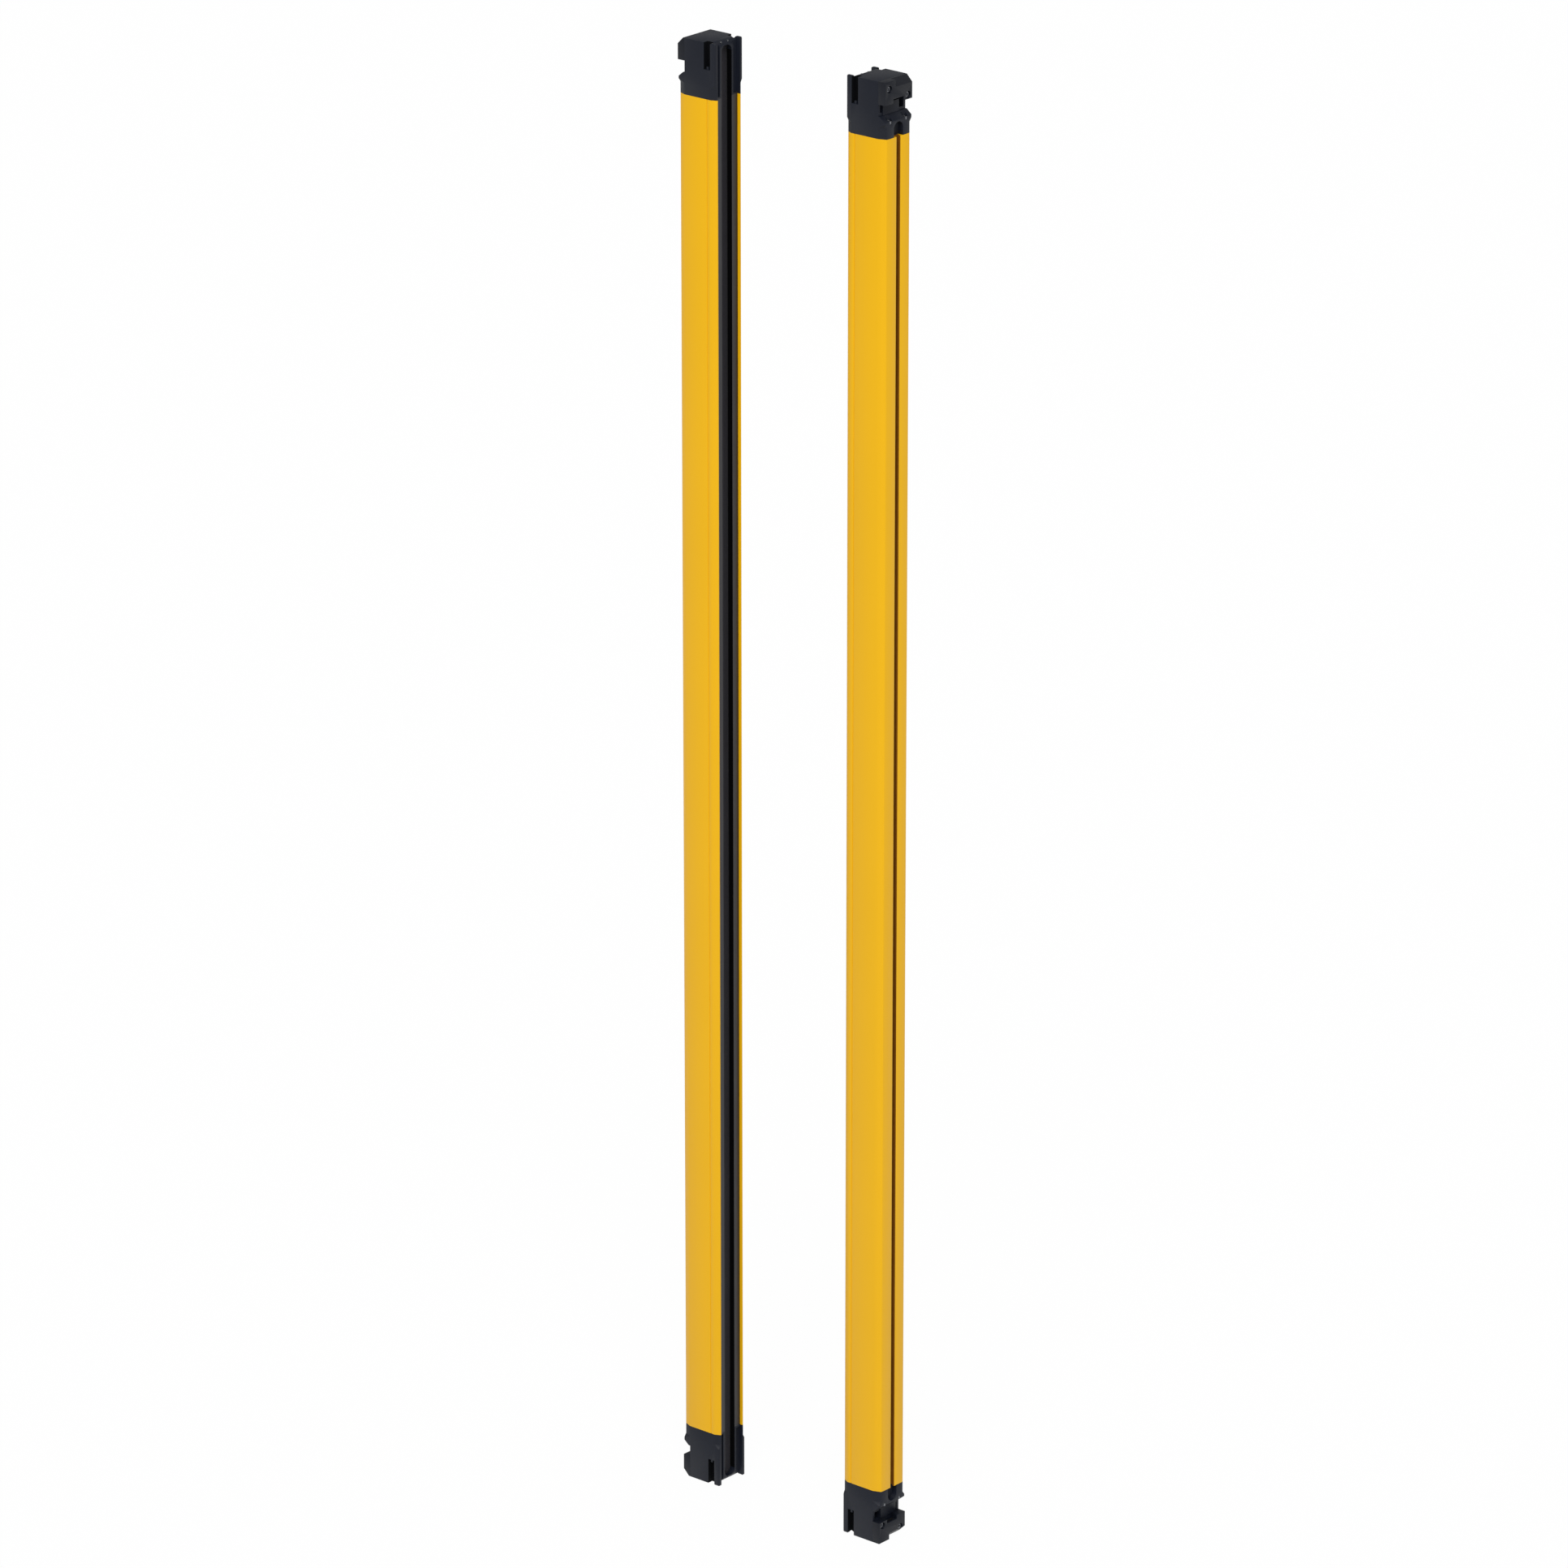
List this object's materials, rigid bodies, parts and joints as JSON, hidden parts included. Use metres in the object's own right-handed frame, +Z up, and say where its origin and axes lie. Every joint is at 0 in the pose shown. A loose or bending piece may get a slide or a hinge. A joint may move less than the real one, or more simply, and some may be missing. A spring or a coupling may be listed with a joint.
{
  "type": "safety light curtain",
  "caption": "Safety light curtain: emitter and receiver bars, each a yellow extruded housing with a dark window strip and grey moulded end caps, guarding the gap between them.",
  "frame": {"origin": "midway between the two bars, on the level of the ends of the lower caps", "axes": "+Z up along the bars; +X along the beams from the emitter to the receiver; +Y across the bars' width"},
  "size_m": [0.213, 0.033, 1.24],
  "materials": {
    "yellow_coat": "satin yellow powder coat over extruded aluminium",
    "cap_plastic": "fine-grained dark grey glass-filled nylon",
    "cover_plastic": "fine-grained dark grey glass-filled nylon",
    "rail_plastic": "smooth black extruded plastic",
    "window_plastic": "glossy near-black acrylic that passes infrared",
    "gasket_rubber": "matt black rubber",
    "carrier_plastic": "matt black moulded plastic",
    "lens_plastic": "clear polished plastic",
    "board_laminate": "green solder mask",
    "diode_body": "smoked epoxy",
    "chip_body": "matt black moulding compound",
    "screw_steel": "bright zinc-plated steel",
    "socket_plastic": "black moulded plastic",
    "pin_brass": "gold-flashed brass",
    "ribbon_film": "amber polyimide film",
    "light_guide": "frosted clear plastic"
  },
  "bodies": {
    "root": {"emitter_housing": "yellow_coat", "emitter_rail_left": "rail_plastic", "emitter_rail_right": "rail_plastic", "emitter_window": "window_plastic", "emitter_window_gasket": "gasket_rubber", "emitter_optics_carrier": "carrier_plastic", "emitter_lenses": "lens_plastic", "emitter_circuit_board": "board_laminate", "emitter_leds": "diode_body", "emitter_control_chips": "chip_body", "emitter_top_cap": "cap_plastic", "emitter_bottom_cap": "cap_plastic", "emitter_top_cap_gasket": "gasket_rubber", "emitter_bottom_cap_gasket": "gasket_rubber", "emitter_top_rear_cover": "cover_plastic", "emitter_bottom_rear_cover": "cover_plastic", "emitter_top_socket": "socket_plastic", "emitter_bottom_socket": "socket_plastic", "emitter_top_contact_pins": "pin_brass", "emitter_bottom_contact_pins": "pin_brass", "emitter_top_ribbon": "ribbon_film", "emitter_bottom_ribbon": "ribbon_film", "emitter_cap_screws": "screw_steel", "emitter_cover_screws": "screw_steel", "emitter_light_guides": "light_guide", "receiver_housing": "yellow_coat", "receiver_rail_left": "rail_plastic", "receiver_rail_right": "rail_plastic", "receiver_window": "window_plastic", "receiver_window_gasket": "gasket_rubber", "receiver_optics_carrier": "carrier_plastic", "receiver_lenses": "lens_plastic", "receiver_circuit_board": "board_laminate", "receiver_photodiodes": "diode_body", "receiver_control_chips": "chip_body", "receiver_top_cap": "cap_plastic", "receiver_bottom_cap": "cap_plastic", "receiver_top_cap_gasket": "gasket_rubber", "receiver_bottom_cap_gasket": "gasket_rubber", "receiver_top_rear_cover": "cover_plastic", "receiver_bottom_rear_cover": "cover_plastic", "receiver_top_socket": "socket_plastic", "receiver_bottom_socket": "socket_plastic", "receiver_top_contact_pins": "pin_brass", "receiver_bottom_contact_pins": "pin_brass", "receiver_top_ribbon": "ribbon_film", "receiver_bottom_ribbon": "ribbon_film", "receiver_cap_screws": "screw_steel", "receiver_cover_screws": "screw_steel", "receiver_light_guides": "light_guide"}
  },
  "joints": []
}
